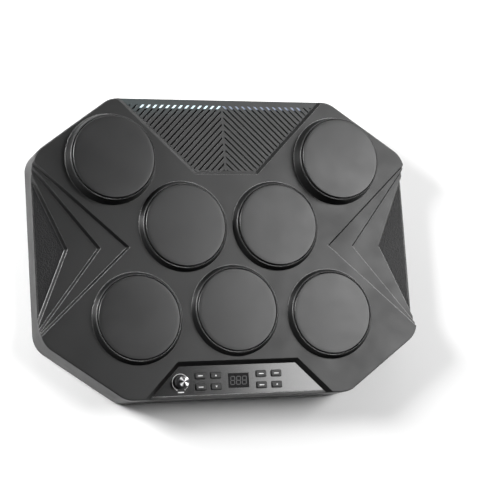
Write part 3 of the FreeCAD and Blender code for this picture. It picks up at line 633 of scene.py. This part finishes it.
def build_button_shade_rings(ink):
    """Painted shade: a thin dark printed ring around every button, standing in for the shade at its
    sides.
    """
    width, depth, line = 12.9 * MM, 7.4 * MM, 0.6 * MM
    for name in BUTTONS:
        centre = centre_of(name)
        outer = rounded_bar(centre, width + 2 * line, depth + 2 * line, 2.2 * MM)
        inner = rounded_bar(centre, width, depth, 1.6 * MM)
        ring_plate("shade_ring_" + name, outer, inner, PANEL_TOP, INK, "root", ink)


def build_jack_rings(material):
    """Plated nuts around the round sockets at the rear."""
    low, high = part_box("jack_sockets")
    height = (low.z + high.z) / 2
    margin, count = 5 * MM, 3
    first, last = low.x + margin, high.x - margin
    bore, rim, sunk = 2.1 * MM, 3.9 * MM, -0.6 * MM
    section = [(bore, sunk), (rim, sunk), (rim, 0.3 * MM), (3.5 * MM, 0.7 * MM),
               (2.5 * MM, 0.7 * MM), (bore, 0.4 * MM)]
    for k in range(count):
        across = first + (last - first) * k / (count - 1)
        place = Vector((across, high.y, height))
        ring_solid(f"jack_nut_{k}", place, section, "root", material, 48, "Y")


# Scene

def assign_materials():
    """Give every CAD node that stays visible its own finish."""
    housing = moulded_plastic("housing_plastic", (0.0045, 0.0046, 0.0047), 0.39, radius=1.3 * MM)
    cover = moulded_plastic("cover_plastic", (0.016, 0.016, 0.017), 0.5, 0.6 * MM, 0.05 * MM)
    grille = moulded_plastic("grille_plastic", (0.02, 0.0202, 0.0203), 0.45, radius=0.25 * MM)
    add_light_halo(grille)
    button = moulded_plastic("button_plastic", (0.0015, 0.0015, 0.0016), 0.36, radius=0.4 * MM)
    socket = moulded_plastic("socket_plastic", (0.01, 0.01, 0.01), 0.45, radius=0.2 * MM)
    plate_plastic = moulded_plastic("plate_plastic", (0.02, 0.02, 0.02), 0.5)
    board = circuit_board()
    steel = metal("machine_steel", (0.45, 0.45, 0.46), 0.35)
    finishes = {
        "top_housing": housing, "speaker_grille": grille, "bottom_cover": cover, "battery_door": cover,
        "battery_cells": gloss_plastic("cell_wrap", (0.02, 0.05, 0.09), 0.3, 0.5),
        "rubber_feet": pad_material, "housing_screws": steel, "led_light_bar": light_guides(),
        "led_board": board, "main_board": board, "control_board": board, "grille_cloth": woven_cloth(),
        "speaker_frames": metal("painted_metal", (0.05, 0.05, 0.05), 0.5),
        "speaker_cones": moulded_plastic("cone_paper", (0.02, 0.02, 0.022), 0.85),
        "speaker_magnets": metal("ferrite", (0.08, 0.08, 0.08), 0.6),
        "side_insert_left": insert_material, "side_insert_right": insert_material,
        "panel_overlay": gloss_plastic("gloss_overlay", (0.003, 0.003, 0.0032), 0.2),
        "display_window": smoked_window(), "display_module": socket, "tact_switches": socket,
        "volume_shaft": steel, "volume_pot": steel,
        "piezo_sensors": metal("piezo_brass", (0.6, 0.42, 0.16), 0.3), "jack_sockets": socket,
        "power_switch": button, "power_switch_case": socket, "front_ports": socket,
    }
    for name in BUTTONS:
        finishes[name] = button
    for pad in PADS:
        finishes["plate_" + pad] = plate_plastic
        finishes["head_" + pad] = pad_material
        finishes["foam_" + pad] = foam_material
    finishes["volume_knob"] = grip_material
    finishes["volume_knob_cap"] = cap_material
    for name, node in NODES.items():
        node.data.materials.clear()
        node.data.materials.append(finishes[name])


def area_light(name, place, aim, size, power):
    """Rectangular light at a place, turned to a point, its power in watts."""
    data = bpy.data.lights.new(name, "AREA")
    data.shape = "RECTANGLE"
    data.size, data.size_y = size
    data.energy = power
    light = bpy.data.objects.new(name, data)
    light.location = place
    light.rotation_euler = (Vector(aim) - Vector(place)).to_track_quat("-Z", "Y").to_euler()
    bpy.context.scene.collection.objects.link(light)


def build_floor():
    """Pale floor that turns white in the distance."""
    half = 6.0
    mesh = bpy.data.meshes.new("floor")
    corners = [(-half, -half, 0), (half, -half, 0), (half, half, 0), (-half, half, 0)]
    mesh.from_pydata(corners, [], [(0, 1, 2, 3)])
    floor = bpy.data.objects.new("floor", mesh)
    bpy.context.scene.collection.objects.link(floor)
    shader = Shader("floor_white", (0.9, 0.9, 0.9), 0.9, specular=0.1)
    shader.mottle(0.85, 0.95, 0.5)
    distance = shader.add("ShaderNodeVectorMath", operation="LENGTH")
    shader.link(shader.place, distance.inputs[0])
    far = shader.span(distance.outputs["Value"], 0, 0.85, 0.6, 2.5)
    seen = shader.add("ShaderNodeLightPath").outputs["Is Camera Ray"]
    shader.base.inputs["Emission Color"].default_value = (1, 1, 1, 1)
    shader.link(shader.math("MULTIPLY", far, seen), shader.base.inputs["Emission Strength"])
    mesh.materials.append(shader.material)


def build_surroundings():
    """White surroundings that are darker overhead in reflections."""
    world = bpy.data.worlds.new("studio")
    world.use_nodes = True
    tree = world.node_tree
    background = tree.nodes["Background"]
    direction = tree.nodes.new("ShaderNodeTexCoord").outputs["Generated"]
    split = tree.nodes.new("ShaderNodeSeparateXYZ")
    tree.links.new(direction, split.inputs["Vector"])
    fade = tree.nodes.new("ShaderNodeMapRange")
    fade.interpolation_type = "SMOOTHSTEP"
    for name, number in (("From Min", 0.35), ("From Max", 0.9), ("To Min", 0.95), ("To Max", 0.1)):
        fade.inputs[name].default_value = number
    tree.links.new(split.outputs["Z"], fade.inputs["Value"])
    pale = tree.nodes.new("ShaderNodeMath")
    pale.operation = "MAXIMUM"
    tree.links.new(fade.outputs["Result"], pale.inputs[0])
    tree.links.new(tree.nodes.new("ShaderNodeLightPath").outputs["Is Camera Ray"], pale.inputs[1])
    tree.links.new(pale.outputs[0], background.inputs["Strength"])
    bpy.context.scene.world = world


def build_lights():
    """Soft key light at the left, fill at the right and a low strip at the rear."""
    area_light("left_key", (-1.7, 0.7, 0.9), (0, 0, 0), (0.6, 0.8), 75)
    area_light("right_soft", (1.3, 0.25, 1.5), (0.15, 0, 0), (0.95, 1.5), 33)
    area_light("rear_strip", (0.75, 1.85, 0.66), (0, 0, 0.05), (3.4, 0.3), 30)


def build_camera():
    """Long lens, high up at the front left."""
    data = bpy.data.cameras.new("camera")
    data.lens = 120.2
    data.sensor_width = 36
    data.clip_start = 0.1
    camera = bpy.data.objects.new("camera", data)
    forward = Vector((0.34473, 0.15338, -0.92609)).normalized()
    up = Vector((0.00989, 0.98591, 0.16698)).normalized()
    right = forward.cross(up).normalized()
    up = right.cross(forward)
    turn = Matrix((right, up, -forward)).transposed()
    camera.matrix_world = Matrix.Translation((-0.66426, -0.31088, 1.89573)) @ turn.to_4x4()
    bpy.context.scene.collection.objects.link(camera)
    bpy.context.scene.camera = camera


pad_material = pad_rubber()
foam_material = foam()
insert_material = coarse_grain()
grip_material = gloss_plastic("knob_plastic", (0.01, 0.01, 0.011), 0.3, 0.4)
cap_material = spun_metal(centre_of("volume_knob_cap"))
ink_material = print_ink("white_ink", (0.75, 0.75, 0.75))
assign_materials()
build_pad_skins(pad_material)
build_foam_rings(foam_material)
build_knob_grip(grip_material)
build_knob_cap(cap_material)
build_knob_mark(ink_material)
build_scale(ink_material)
build_digits(print_ink("unlit_segments", (0.06, 0.06, 0.062)))
build_button_marks(ink_material)
# painted shade ring around each button
build_button_shade_rings(print_ink("painted_shade_ink", (0.0015, 0.0015, 0.0015)))
build_jack_rings(metal("nut_plating", (0.6, 0.6, 0.6), 0.25))
build_floor()
build_surroundings()
build_lights()
build_camera()
bpy.context.scene.view_settings.view_transform = "Standard"

bpy.context.view_layer.update()
